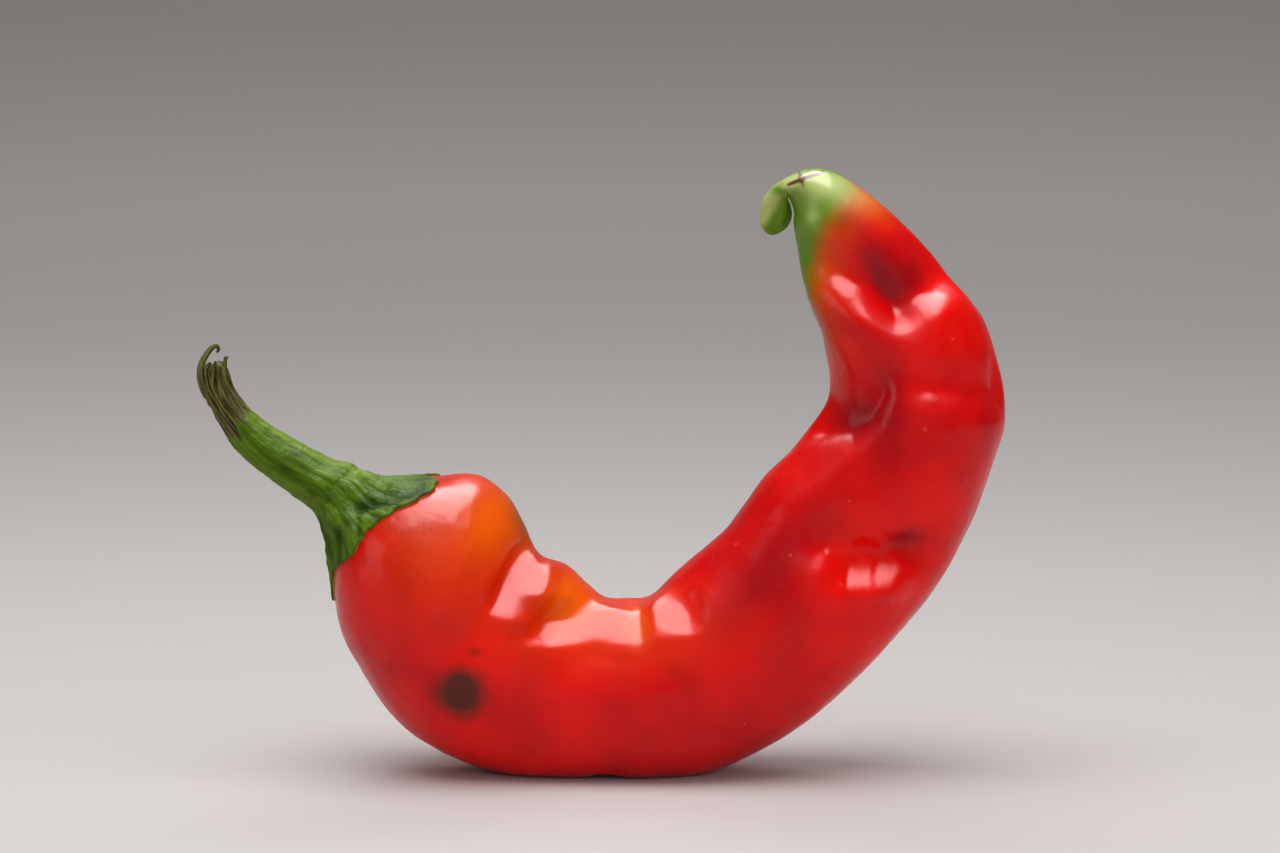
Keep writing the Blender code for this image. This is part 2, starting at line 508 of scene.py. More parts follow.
@dataclass(frozen=True)
class RipePodSkin:
    """Ripe chilli skin: a clear waxy cuticle over coloured flesh, so it is glossy and slightly deep."""

    red: str = "#EC0800"
    deep_red: str = "#C00208"
    # Painted shade: the darker red laid in the dents, the crook's pocket and along the limb.
    painted_shade_red: str = "#900010"
    orange: str = "#E85A00"
    olive: str = "#5E4A0C"
    green: str = "#5F8A08"
    # Pale green of the painted highlight on the tip, and of the flap.
    pale_green: str = "#B9C878"
    bruise: str = "#5A2216"
    scar: str = "#E0684A"

    def material(self) -> bpy.types.Material:
        """Builds the node material."""
        nodes = NodeTree("ripe_pod_skin")
        place = nodes.add("ShaderNodeTexCoord").outputs["Object"]

        # Clouds about 14 mm across make the red uneven, as the flesh under the cuticle is.
        clouds = nodes.add("ShaderNodeTexNoise", {"Vector": place, "Scale": 70.0, "Detail": 3.0})
        cloud_share = nodes.add(
            "ShaderNodeMapRange",
            {"Value": clouds.outputs["Fac"], "From Min": 0.35, "From Max": 0.7},
        )
        # The bruise's edge is broken up by clouds of about 3 mm.
        blotch = nodes.add("ShaderNodeTexNoise", {"Vector": place, "Scale": 350.0, "Detail": 2.0})
        bruised = nodes.add("ShaderNodeAttribute", attribute_name="bruise")
        rough_edge = nodes.add(
            "ShaderNodeMath",
            {0: blotch.outputs["Fac"], 1: 0.4, 2: bruised.outputs["Fac"]},
            operation="MULTIPLY_ADD",
        )
        bruise = nodes.add(
            "ShaderNodeMapRange", {"Value": rough_edge.outputs[0], "From Min": 0.45, "From Max": 0.95}
        )
        # Pinprick scars, up to 0.6 mm across and about 6 mm apart.
        pricks = nodes.add("ShaderNodeTexVoronoi", {"Vector": place, "Scale": 160.0})
        prick = nodes.add(
            "ShaderNodeMapRange",
            {"Value": pricks.outputs["Distance"], "From Min": 0.05, "From Max": 0.02, "To Max": 0.5},
        )
        colour = nodes.layered(
            linear(self.red),
            (
                (cloud_share.outputs["Result"], linear(self.deep_red)),
                # Painted shade in the dents, the crook's pocket and along the limb.
                ("shade", linear(self.painted_shade_red)),
                # Orange of the skin, with painted light in broad tints on the bulb and the bend.
                ("orange", linear(self.orange)),
                # Olive of the skin, with painted shade on the shoulder's back flank.
                ("olive", linear(self.olive)),
                ("green", linear(self.green)),
                # Painted highlight in pale green on the tip; the flap's pale is partly its own and partly
                # painted light.
                ("pale", linear(self.pale_green)),
                (bruise.outputs["Result"], linear(self.bruise)),
                (prick.outputs["Result"], linear(self.scar)),
            ),
        )

        # The wax is worn in patches about 8 mm across, which blurs the gloss there.
        wear = nodes.add("ShaderNodeTexNoise", {"Vector": place, "Scale": 120.0, "Detail": 6.0})
        roughness = nodes.add(
            "ShaderNodeMapRange",
            {"Value": wear.outputs["Fac"], "From Min": 0.3, "From Max": 0.7, "To Min": 0.19, "To Max": 0.34},
        )
        # Fine orange-peel relief with pits about 0.6 mm apart, over soft wrinkles about 4 mm apart.
        peel = nodes.add("ShaderNodeTexNoise", {"Vector": place, "Scale": 1600.0, "Detail": 3.0})
        wrinkles = nodes.add(
            "ShaderNodeTexNoise", {"Vector": place, "Scale": 260.0, "Detail": 2.0, "Distortion": 0.6}
        )
        fine = nodes.add(
            "ShaderNodeBump", {"Height": peel.outputs["Fac"], "Strength": 0.25, "Distance": 0.00006}
        )
        relief = nodes.add(
            "ShaderNodeBump",
            {"Height": wrinkles.outputs["Fac"], "Strength": 0.5, "Distance": 0.0003, "Normal": fine.outputs[0]},
        )
        nodes.set(
            nodes.shader,
            {
                "Base Color": colour,
                "Roughness": roughness.outputs["Result"],
                "Normal": relief.outputs["Normal"],
                "IOR": 1.3,
                "Subsurface Weight": 0.12,
                "Subsurface Radius": (1.0, 0.25, 0.1),
                "Subsurface Scale": 0.0015,
            },
        )
        return nodes.material


@dataclass(frozen=True)
class FleshyGreen:
    """Living calyx and stalk tissue: green, satin, with fine gland bumps and lengthwise fibres."""

    name: str
    green: str
    bright: str
    dark: str
    pale: str
    streaks: float
    dry: str = "#2A1C10"
    dry_fibre: str = "#6E6C34"
    rim: str = "#C9A66B"

    def material(self) -> bpy.types.Material:
        """Builds the node material."""
        nodes = NodeTree(self.name)
        place = nodes.add("ShaderNodeTexCoord").outputs["Object"]
        grain = nodes.add("ShaderNodeAttribute", attribute_name="grain").outputs["Vector"]

        # Fibres run along the stalk, about 0.5 mm apart round it and 7 mm long.
        fibre_place = nodes.add("ShaderNodeMapping", {"Vector": grain, "Scale": (1.0, 1.0, 0.07)})
        fibres = nodes.add(
            "ShaderNodeTexNoise", {"Vector": fibre_place.outputs[0], "Scale": 2.0, "Detail": 3.0}
        )
        fibre_map = nodes.add(
            "ShaderNodeMapRange", {"Value": fibres.outputs["Fac"], "From Min": 0.38, "From Max": 0.62}
        )
        fibre_share = fibre_map.outputs["Result"]
        streaks = nodes.add("ShaderNodeMath", {0: fibre_share, 1: self.streaks}, operation="MULTIPLY")
        # Clouds about 2 mm across make the green uneven.
        clouds = nodes.add("ShaderNodeTexNoise", {"Vector": place, "Scale": 450.0, "Detail": 4.0})
        cloud_share = nodes.add(
            "ShaderNodeMapRange", {"Value": clouds.outputs["Fac"], "From Min": 0.35, "From Max": 0.65}
        )
        dry = nodes.layered(linear(self.dry), [(fibre_share, linear(self.dry_fibre))])
        colour = nodes.layered(
            linear(self.green),
            (
                (cloud_share.outputs["Result"], linear(self.dark)),
                (streaks.outputs[0], linear(self.bright)),
                # Painted light: bright green on the upper side and on raised tops.
                ("bright", linear(self.bright)),
                ("pale", linear(self.pale)),
                # Painted shade: dark green in the grooves and folds.
                ("hollow", linear(self.dark)),
                ("dry", dry),
                ("rim", linear(self.rim)),
            ),
        )

        # Gland bumps about 0.7 mm apart, with the fibres as low ridges under them.
        glands = nodes.add("ShaderNodeTexNoise", {"Vector": place, "Scale": 1500.0, "Detail": 4.0})
        gland_relief = nodes.add(
            "ShaderNodeBump", {"Height": glands.outputs["Fac"], "Strength": 0.7, "Distance": 0.0003}
        )
        fibre_relief = nodes.add(
            "ShaderNodeBump",
            {
                "Height": fibres.outputs["Fac"],
                "Strength": 0.8,
                "Distance": 0.0006,
                "Normal": gland_relief.outputs[0],
            },
        )
        roughness = nodes.add(
            "ShaderNodeMapRange", {"Value": glands.outputs["Fac"], "To Min": 0.4, "To Max": 0.65}
        )
        nodes.set(
            nodes.shader,
            {
                "Base Color": colour,
                "Roughness": roughness.outputs["Result"],
                "Normal": fibre_relief.outputs["Normal"],
                "IOR": 1.3,
                "Specular IOR Level": 0.2,
                "Subsurface Weight": 0.15,
                "Subsurface Radius": (0.4, 1.0, 0.15),
                "Subsurface Scale": 0.001,
            },
        )
        return nodes.material


@dataclass(frozen=True)
class SweepPaper:
    """Matt pale paper of the studio sweep, with painted shade that darkens it towards the back."""

    # Painted shade: tone at growing distances behind the pepper, as shares of the visible depth.
    tones: tuple[tuple[float, str], ...] = (
        (0.0, "#C9C4C3"),
        (0.22, "#C3BFBD"),
        (0.35, "#C3BFBD"),
        (0.58, "#BCB8B6"),
        (0.77, "#AEAAA8"),
        (0.93, "#908B89"),
    )
    front: float = -0.1
    back: float = 1.7

    def material(self) -> bpy.types.Material:
        """Builds the node material."""
        nodes = NodeTree("sweep_paper")
        place = nodes.add("ShaderNodeTexCoord").outputs["Object"]
        depth = nodes.add("ShaderNodeSeparateXYZ", {"Vector": place}).outputs["Y"]
        share = nodes.add(
            "ShaderNodeMapRange", {"Value": depth, "From Min": self.front, "From Max": self.back}
        )
        ramp = nodes.add("ShaderNodeValToRGB", {"Fac": share.outputs["Result"]})
        stops = ramp.color_ramp.elements
        stops.remove(stops[1])
        stops[0].color = linear(self.tones[0][1])
        for position, tone in self.tones[1:]:
            stops.new(position).color = linear(tone)
        tooth = nodes.add("ShaderNodeTexNoise", {"Vector": place, "Scale": 900.0, "Detail": 2.0})
        relief = nodes.add(
            "ShaderNodeBump", {"Height": tooth.outputs["Fac"], "Strength": 0.05, "Distance": 0.0002}
        )
        nodes.set(
            nodes.shader,
            {
                "Base Color": ramp.outputs["Color"],
                "Roughness": 0.6,
                "Normal": relief.outputs["Normal"],
                "Specular IOR Level": 0.1,
            },
        )
        return nodes.material


# ------------------------------------------------------------------------------------------------------- pod


POD_LOFT = Loft(
    start=(-33.8, 36.1),
    end=(23.5, 75.1),
    sections=(
        Section((-36.5, 31.0), (-29.0, 40.0), 8.0),
        Section((-37.4, 26.0), (-22.8, 41.6), 11.8),
        Section((-36.5, 20.0), (-17.2, 41.6), 13.8),
        Section((-34.0, 15.0), (-13.2, 38.8), 14.9),
        Section((-30.6, 9.5), (-10.9, 35.0), 15.2),
        Section((-26.0, 5.0), (-8.6, 30.8), 14.8),
        Section((-20.0, 1.6), (-5.0, 29.2), 14.0),
        Section((-13.7, -0.4), (-2.0, 26.3), 13.3),
        Section((-7.0, -1.2), (0.4, 24.5), 13.2),
        Section((0.0, -1.4), (3.6, 24.3), 13.3),
        Section((7.5, -1.3), (6.7, 24.8), 13.6),
        Section((14.5, -0.3), (9.9, 27.6), 13.7),
        Section((21.4, 2.7), (13.5, 30.9), 13.5),
        Section((27.7, 6.4), (17.3, 34.3), 13.3),
        Section((33.7, 11.5), (20.0, 37.9), 13.1),
        Section((39.1, 17.1), (23.2, 42.3), 12.9),
        Section((44.5, 23.4), (26.7, 45.6), 12.7),
        Section((48.5, 29.3), (29.8, 49.7), 12.5),
        Section((51.6, 35.6), (31.3, 52.4), 12.3),
        Section((54.0, 42.3), (31.6, 54.5), 12.0),
        Section((56.1, 50.3), (31.4, 57.5), 11.6),
        Section((55.1, 57.5), (30.5, 61.5), 11.1),
        Section((52.7, 63.8), (29.1, 64.8), 10.4),
        Section((48.8, 69.2), (27.9, 68.3), 9.8),
        Section((44.5, 74.2), (27.2, 72.7), 8.4),
        Section((40.0, 78.3), (26.5, 76.6), 6.8),
        Section((36.3, 81.3), (26.5, 78.3), 5.5),
        Section((33.0, 83.5), (26.2, 79.5), 4.7),
        Section((29.4, 84.6), (25.8, 80.3), 4.0, 0.2),
        Section((26.6, 83.7), (25.4, 80.6), 3.4, 0.6),
        Section((24.1, 82.2), (25.8, 80.2), 3.0, 1.2),
        Section((22.4, 80.3), (26.3, 79.1), 2.5, 2.0),
        Section((21.9, 77.9), (26.4, 77.4), 2.0, 2.6),
        Section((22.1, 76.2), (25.5, 75.9), 1.4, 2.8),
    ),
)


@dataclass
class Pod:
    """The red fruit, with its waist, dents, folds and curled green tip."""

    loft: Loft = POD_LOFT
    sides: int = 192
    rings: int = 300
    # The shallow recess under the belly, between the two pads that it rests on.
    recess_middle: float = 0.4
    recess_half_width: float = 2.4
    recess_height: float = 0.7
    belly_softness: float = 0.25
    # Height and spacing of the uneven lumps.
    lump_layers: tuple[Pair, ...] = ((0.15, 7.0), (0.06, 2.6))
    skin: RipePodSkin = RipePodSkin()
    reliefs: tuple[Relief, ...] = (
        # The waist between the bulb and the second swelling, with a ridge beside it.
        Crease(((-8.6, 31.4), (-12.0, 31.4), (-14.6, 28.0), (-17.2, 23.6), (-20.0, 20.0)), 1.1, 2.2, 3.0),
        Crease(((-15.3, 29.6), (-16.9, 26.0), (-19.4, 22.6)), -0.25, 0.5, 0.9, 0.1),
        Crease(((-17.2, 34.0), (-19.8, 29.7)), -0.12, 0.5, 0.8, 0.1),
        # The flat crest of the second swelling, and the flats along the inside of the bend.
        Facet((-10.6, 27.0), (4.8, 3.3), 49.0, turn=62.0, lean=-2.0, sink=0.05, softness=0.4),
        Facet((-2.6, 21.9), (7.0, 2.4), 47.0, turn=-10.0, sink=0.0, softness=0.6),
        Swelling((5.4, 22.2), (1.0, 1.3), -0.25),
        Facet((9.6, 23.0), (3.6, 2.3), 46.0, turn=24.0, lean=-8.0, sink=0.0, softness=0.6),
        # The long shallow valley up the limb.
        Crease(((20.0, 20.0), (26.0, 30.0), (35.0, 41.0), (38.8, 50.0), (38.5, 58.0)), 0.6, 3.5, 3.5, 1.5),
        # The deep dimple near the tip: a slanting hollow over two lips that face up.
        Swelling((37.4, 71.4), (6.0, 3.0), -1.0, turn=-57.0),
        Crease(((31.2, 70.6), (35.8, 68.0), (39.8, 65.8)), 3.0, 5.0, 2.2, 0.5),
        Crease(((42.0, 67.6), (45.0, 69.0), (48.8, 71.4)), 2.2, 5.5, 2.3, 0.5),
        Swelling((35.8, 64.0), (4.6, 1.7), 0.6, turn=-38.0),
        Swelling((46.0, 64.6), (3.4, 1.9), 0.5, turn=24.0),
        Crease(((42.0, 71.8), (43.2, 69.0)), -0.3, 0.8, 0.8, 0.2),
        # The shelf below it.
        Crease(((44.6, 55.4), (49.6, 55.0), (54.2, 53.6)), 1.7, 5.0, 1.7, 0.6),
        Swelling((49.5, 49.2), (5.5, 2.4), 0.4),
        # The crinkled dent low on the limb, with a pit over flats that face up.
        Swelling((38.5, 33.0), (5.4, 3.6), -0.9, turn=-10.0),
        Crease(((30.8, 33.8), (34.4, 32.0), (38.6, 31.6), (42.6, 32.0)), 3.0, 3.6, 2.4, 0.5),
        Facet((36.4, 28.6), (4.8, 2.2), 39.0, turn=-12.0, sink=0.2, softness=0.5),
        Crease(((34.4, 32.6), (33.9, 29.4), (33.4, 25.6)), 0.45, 0.5, 0.5, 0.1),
        Crease(((38.0, 31.2), (37.7, 28.6), (38.2, 25.2)), 0.4, 0.5, 0.5, 0.1),
        Crease(((35.9, 35.2), (38.4, 33.0), (41.4, 30.0)), -0.5, 0.5, 0.7, 0.1),
        # The fold in the crook: a hollow over a low lip, and the ridge that runs down into it.
        Crease(((30.0, 49.2), (33.4, 49.6), (36.0, 51.2), (37.4, 54.0)), 1.7, 3.6, 1.5, 0.4),
        Crease(((29.2, 66.6), (32.0, 61.4), (35.2, 56.6), (37.2, 53.0)), -0.45, 1.0, 1.4),
        # The hollow face of the hanging flap.
        Crease(((24.4, 80.4), (24.0, 78.4), (23.8, 76.6)), 0.5, 0.9, 0.9),
        # The far side has its own dents and furrows.
        Swelling((-20.0, 26.0), (6.0, 8.0), -1.4, turn=30.0, side=Side.BACK),
        Crease(((-10.0, 30.0), (-13.0, 24.0), (-17.0, 16.0)), 1.2, 2.6, 2.6, side=Side.BACK),
        Crease(((2.0, 12.0), (16.0, 15.0), (30.0, 24.0), (40.0, 40.0)), 0.9, 3.5, 3.5, 1.5, Side.BACK),
        Swelling((46.0, 50.0), (4.0, 6.5), -1.5, turn=10.0, side=Side.BACK),
        Crease(((36.0, 66.0), (42.0, 64.0), (48.0, 68.0)), 1.6, 4.0, 2.6, side=Side.BACK),
        Swelling((18.0, 22.0), (5.0, 3.0), 0.6, turn=35.0, side=Side.BACK),
    )
    # The edge of the unripe tip: a point on it, the direction into the green, and where it can reach down to.
    unripe_edge: Pair = (34.8, 81.9)
    unripe_direction: Pair = (-0.828, 0.56)
    unripe_bottom: float = 60.0
    # The green strip along the inside of the limb starts between these sections.
    strip_start: Pair = (20.5, 24.0)
    strip_half_angle: float = 0.45
    # Painted highlight: pale green on the crown of the tip and in a band below it.
    painted_highlight_marks: tuple[Relief, ...] = (
        Swelling((31.0, 82.4), (5.0, 2.2), 1.0, turn=-12.0),
        Swelling((28.6, 78.6), (1.0, 2.6), 0.45, turn=-10.0),
    )
    # The greener line where the tip folds over into the flap, which the painted highlight leaves out.
    fold_line: tuple[Relief, ...] = (Crease(((22.8, 82.6), (25.0, 80.9), (26.2, 78.6)), -0.9, 0.7, 0.7),)
    # Olive on the shoulder's back edge, partly the skin's own olive and partly painted shade on the bulb's back
    # flank; olive where the tip turns.
    olive_and_shade_marks: tuple[Relief, ...] = (
        Swelling((-10.4, 35.2), (1.2, 4.6), 0.75, turn=28.0, side=Side.BOTH),
        Swelling((32.6, 78.4), (2.6, 2.0), 0.45, turn=-35.0, side=Side.BOTH),
    )
    # Orange where the skin is orange, and painted light in the two broad tints below.
    orange_and_painted_light_marks: tuple[Relief, ...] = (
        Swelling((-13.6, 36.5), (4.6, 5.0), 0.95, turn=25.0, side=Side.BOTH),
        Swelling((-4.5, 26.0), (3.6, 3.0), 1.0, turn=-35.0, side=Side.BOTH),
        Swelling((5.0, 21.6), (1.8, 2.2), 0.6),
        # Painted light: broad low orange tints over the bulb's top and along the inside of the bend, where the
        # lit red looks orange.
        Swelling((-21.0, 34.0), (9.0, 8.0), 0.4, side=Side.BOTH),
        Swelling((0.0, 22.0), (14.0, 5.0), 0.3, side=Side.BOTH),
        Swelling((37.5, 80.2), (3.0, 1.8), 0.8, turn=-40.0, side=Side.BOTH),
    )
    # The round bruise, the brown slit on the tip with its cross cut, and a small blemish.
    bruise_marks: tuple[Relief, ...] = (
        Swelling((-19.3, 13.4), (4.1, 4.1), 1.0),
        Crease(((25.6, 82.3), (28.0, 83.4), (30.4, 84.0)), -0.75, 0.28, 0.28, 0.1, Side.BOTH),
        Crease(((27.2, 84.0), (27.6, 82.2)), -0.6, 0.2, 0.2, 0.1, Side.BOTH),
        Swelling((-17.0, 19.4), (1.4, 1.0), 0.35),
    )
    # Painted shade: darker red in the dimple near the tip, the crinkled dent's pit, the crook's pocket, and
    # along the valley and the middle of the limb.
    painted_shade_marks: tuple[Relief, ...] = (
        Swelling((22.0, 30.0), (4.0, 14.0), 0.7, turn=-40.0),
        Swelling((39.0, 52.0), (3.0, 9.0), 0.7),
        Swelling((33.8, 50.8), (3.0, 2.4), 1.0, turn=30.0),
        Swelling((38.8, 70.8), (5.6, 3.2), 1.0, turn=-57.0),
        Swelling((43.6, 71.0), (2.6, 2.6), 0.6),
        Swelling((42.6, 33.6), (3.0, 2.0), 0.9),
    )

    def _belly(self, points: np.ndarray) -> np.ndarray:
        """Flattens what would sink below the surface, and lifts a shallow recess between two pads."""
        along = (points[:, 0] - self.recess_middle) / self.recess_half_width
        floor = self.recess_height * np.exp(-(along**4))
        over = (points[:, 2] - floor) / self.belly_softness
        settled = points.copy()
        settled[:, 2] = floor + self.belly_softness * np.logaddexp(0.0, over)
        return settled

    def _skin_points(self, share: np.ndarray, angle: np.ndarray) -> np.ndarray:
        """Points on the skin, with every relief pressed into what the ones before it left."""
        place = share * self.loft.length
        points = self.loft.surface(place, angle)
        outward = self.loft.outward(place, angle)
        for relief in self.reliefs:
            points = points + outward * relief.at(points, outward)[:, None]
        return self._belly(points + outward * uneven(self.lump_layers, points)[:, None])

    def _paint(self, share: np.ndarray, angle: np.ndarray) -> dict[str, np.ndarray]:
        """Where the skin is unripe, pale, orange, olive or bruised, and its painted light and shade."""
        place = share * self.loft.length
        points = self.loft.surface(place, angle)
        outward = self.loft.outward(place, angle)

        def patches(marks: Sequence[Relief]) -> np.ndarray:
            """Share of paint that the marks lay on each point."""
            return np.clip(total_height(marks, points, outward), 0.0, 1.0)

        # Distance into the unripe tip, in millimetres.
        unripe = (points[:, [0, 2]] - self.unripe_edge) @ np.array(self.unripe_direction)
        unripe = np.where(points[:, 2] > self.unripe_bottom, unripe, -FAR)
        strip = band(angle, math.pi, self.strip_half_angle) * smooth_step(place, *self.strip_start)
        green = np.clip(smooth_step(unripe, -1.0, 2.6) + 0.9 * strip, 0.0, 1.0)
        # Painted highlight on the tip; the flap is painted pale too, partly its own paler green and partly
        # painted light through its thin face.
        pale = sum((patches([mark]) for mark in self.painted_highlight_marks), 0.9 * smooth_step(unripe, 6.4, 8.0))
        turning = 0.45 * smooth_step(unripe, -5.0, 0.5) * (1.0 - green)
        return {
            "green": green,
            "pale": np.clip(pale * (1.0 - patches(self.fold_line)), 0.0, 1.0),
            "olive": patches(self.olive_and_shade_marks),
            "orange": np.clip(patches(self.orange_and_painted_light_marks) + turning, 0.0, 1.0),
            "bruise": patches(self.bruise_marks),
            "shade": patches(self.painted_shade_marks),
        }

    def build(self) -> bpy.types.Object:
        """Builds the pod.

        Returns:
            The pod's object.
        """
        mesh, share, angle = warped_sphere(self.sides, self.rings, self._skin_points)
        painted = self._paint(share, angle)
        return finish_piece(mesh, "pod_skin", self.skin.material(), painted, ["pod"])


# ------------------------------------------------------------------------------------------ calyx and stalk


STALK_LOFT = Loft(
    start=(-54.2, 57.2),
    end=(-33.3, 35.6),
    sections=(
        Section((-55.9, 56.4), (-52.6, 57.0), 1.4),
        Section((-55.6, 53.8), (-51.3, 53.8), 2.0),
        Section((-54.4, 51.0), (-49.4, 51.2), 2.5),
        Section((-53.0, 48.3), (-46.8, 49.0), 3.0),
        Section((-51.3, 45.5), (-43.8, 47.1), 3.4),
        Section((-48.2, 42.7), (-40.7, 45.4), 3.6),
        Section((-44.7, 40.2), (-37.5, 43.8), 3.8),
        Section((-41.9, 38.1), (-34.5, 43.0), 4.3),
        Section((-38.2, 35.6), (-32.3, 39.8), 3.2),
    ),
)
# Where the stalk meets the calyx's neck, in the stalk's sections.
NECK_PLACE = 8.0


def ribs(angle: np.ndarray, count: int, heights: Pair) -> np.ndarray:
    """Lengthwise ribs, which run on from the stalk into the calyx.

    Args:
        angle: Angles round the body.
        count: Number of broad ribs; there are twice as many fine ones, and one more.
        heights: Heights of the broad and the fine ribs.

    Returns:
        One height for each angle.
    """
    broad, fine = heights
    return broad * np.cos(count * angle + 0.6) + fine * np.cos((2 * count + 1) * angle + 1.9)


def light_bands(angle: np.ndarray) -> tuple[np.ndarray, np.ndarray]:
    """Shares of painted light in bright green along the upper side, and of pale green along the lower side."""
    return 0.55 * band(angle, 2.85, 0.36), 0.6 * band(angle, 0.45, 0.5)


@dataclass(frozen=True)
class Strand:
    """A torn fibre bundle: a flat tapering ribbon along a line."""

    line: tuple[Triple, ...]
    half_widths: Pair
    flatness: float = 0.45

    def points(self, share: np.ndarray, angle: np.ndarray) -> np.ndarray:
        """Points on the ribbon's skin.

        Args:
            share: Share of the way from end to end.
            angle: Angle round the ribbon.

        Returns:
            One point in millimetres for each share.
        """
        line = np.array(self.line)
        steps = np.clip(share, 0.0, 1.0) * (len(line) - 1)
        start = np.minimum(steps.astype(int), len(line) - 2)
        controls = [line[np.clip(start + step, 0, len(line) - 1)] for step in (-1, 0, 1, 2)]
        middle = catmull_rom(controls, (steps - start)[:, None])
        ahead = unit(controls[2] - controls[1])
        off_axis = np.array([0.25, 1.0, 0.1])
        across = unit(np.cross(ahead, off_axis))
        through = np.cross(ahead, across)
        first, last = self.half_widths
        rounded_ends = np.sqrt(np.clip(1.0 - (2.0 * share - 1.0) ** 8, 0.0, 1.0))
        half = (first + (last - first) * share) * rounded_ends
        wide = across * (half * np.cos(angle))[:, None]
        thick = through * (half * self.flatness * np.sin(angle))[:, None]
        return middle + wide + thick


@dataclass
class Stalk:
    """The grooved stalk with its dried, torn end."""

    loft: Loft = STALK_LOFT
    sides: int = 120
    rings: int = 200
    ridges: int = 5
    ridge_height: float = 0.16
    # Height and spacing of the uneven lumps.
    lump_layers: tuple[Pair, ...] = ((0.12, 1.6), (0.05, 0.6))
    # Where the dried end stops, in sections.
    dry_reach: float = 3.9
    strands: tuple[Strand, ...] = (
        Strand(
            (
                (-54.9, -0.6, 52.4),
                (-55.7, -0.7, 55.0),
                (-55.7, -0.7, 57.0),
                (-54.9, -0.6, 58.7),
                (-53.9, -0.5, 59.8),
                (-53.2, -0.4, 59.6),
                (-53.5, -0.4, 58.9),
            ),
            (0.62, 0.22),
        ),
        Strand(((-54.2, -1.3, 51.5), (-54.9, -1.3, 54.5), (-54.5, -1.1, 57.7)), (0.55, 0.3)),
        Strand(((-53.2, -1.7, 50.5), (-54.0, -1.7, 54.0), (-53.6, -1.4, 57.9)), (0.5, 0.28)),
        Strand(((-52.0, -1.6, 50.5), (-53.0, -1.7, 54.0), (-53.0, -1.3, 57.2)), (0.45, 0.3)),
        Strand(
            ((-51.2, -0.8, 51.0), (-52.3, -1.0, 54.5), (-52.3, -0.8, 57.9), (-51.9, -0.6, 58.4)),
            (0.5, 0.2),
        ),
        Strand(((-53.6, 1.2, 51.0), (-54.4, 1.3, 54.5), (-54.2, 1.1, 57.2)), (0.6, 0.3)),
        Strand(((-52.0, 1.4, 51.0), (-52.8, 1.4, 54.5), (-52.7, 1.2, 57.6)), (0.6, 0.3)),
    )
    finish: FleshyGreen = FleshyGreen(
        name="fibrous_stalk",
        green="#4F7206",
        bright="#76920E",
        dark="#334F04",
        pale="#708630",
        streaks=0.4,
    )

    def _ridge_heights(self, place: np.ndarray, angle: np.ndarray) -> np.ndarray:
        """Lengthwise ridges that deepen towards the torn end."""
        twist = angle + 0.08 * place
        deepening = 1.0 + 1.4 * smooth_step(place, 3.2, 1.2)
        fade = smooth_step(place, 0.0, 0.8) * smooth_step(place, 9.0, 7.6)
        return self.ridge_height * ribs(twist, self.ridges, (1.0, 0.5)) * deepening * fade

    def skin(self, place: np.ndarray, angle: np.ndarray) -> np.ndarray:
        """Points on the stalk's skin.

        Args:
            place: Places along the stalk, counted in sections.
            angle: Angles round it.

        Returns:
            One point in millimetres for each place.
        """
        outward = self.loft.outward(place, angle)
        points = self.loft.surface(place, angle)
        heights = self._ridge_heights(place, angle) + uneven(self.lump_layers, points)
        return points + outward * heights[:, None]

    def _paint(self, share: np.ndarray, angle: np.ndarray) -> dict[str, np.ndarray]:
        """Painted light on top, pale, painted shade in the grooves and the dried end, and straightened
        coordinates.
        """
        place = share * self.loft.length
        ragged = 0.9 * np.cos(angle) + 0.25 * np.sin(7 * angle) + 0.12 * np.sin(17 * angle)
        reach = self.dry_reach + ragged
        # Painted light in bright green along the upper side; pale green along the lower side.
        bright, pale = light_bands(angle)
        section_length, radius = 4.2, 3.0
        return {
            "grain": straightened(place * section_length, angle, radius),
            "dry": smooth_step(place, reach + 0.12, reach - 0.12),
            "bright": bright,
            "pale": pale,
            # Painted shade in the grooves between the ridges.
            "hollow": 0.5 * smooth_step(-self._ridge_heights(place, angle), 0.05, 0.25),
            "rim": np.zeros(len(share)),
        }

    def build(self) -> bpy.types.Object:
        """Builds the stalk with its strands.

        Returns:
            The stalk's object.
        """
        length = self.loft.length
        mesh, share, angle = warped_sphere(self.sides, self.rings, lambda s, a: self.skin(s * length, a))
        painted = self._paint(share, angle)
        mesh = appended(bmesh.new(), mesh)
        for strand in self.strands:
            extra, extra_share, extra_angle = warped_sphere(12, 36, strand.points)
            part = {name: np.zeros(len(extra_share)) for name in painted}
            part["dry"] += 0.85
            strand_length, radius = 8.0, 0.5
            part["grain"] = straightened(extra_share * strand_length, extra_angle, radius)
            painted = {name: np.concatenate([painted[name], part[name]]) for name in painted}
            mesh = appended(mesh, extra)
        return finish_piece(mesh, "stalk", self.finish.material(), painted, ["stem"])


def appended(mesh: bmesh.types.BMesh, extra: bmesh.types.BMesh) -> bmesh.types.BMesh:
    """Adds a mesh after another, in order, and frees it.

    Args:
        mesh: A mesh that has had nothing deleted, so that its vertices keep their order.
        extra: The mesh to add.

    Returns:
        The first mesh.
    """
    data = bpy.data.meshes.new("extra")
    extra.to_mesh(data)
    extra.free()
    mesh.from_mesh(data)
    bpy.data.meshes.remove(data)
    return mesh


def straightened(along: np.ndarray, angle: np.ndarray, radius: float) -> np.ndarray:
    """Coordinates of a bent round body as if it were straight, in millimetres.

    Args:
        along: Distance along the body.
        angle: Angle round it.
        radius: Its radius.

    Returns:
        One row of three for each place.
    """
    return np.stack([radius * np.cos(angle), radius * np.sin(angle), along], axis=1)


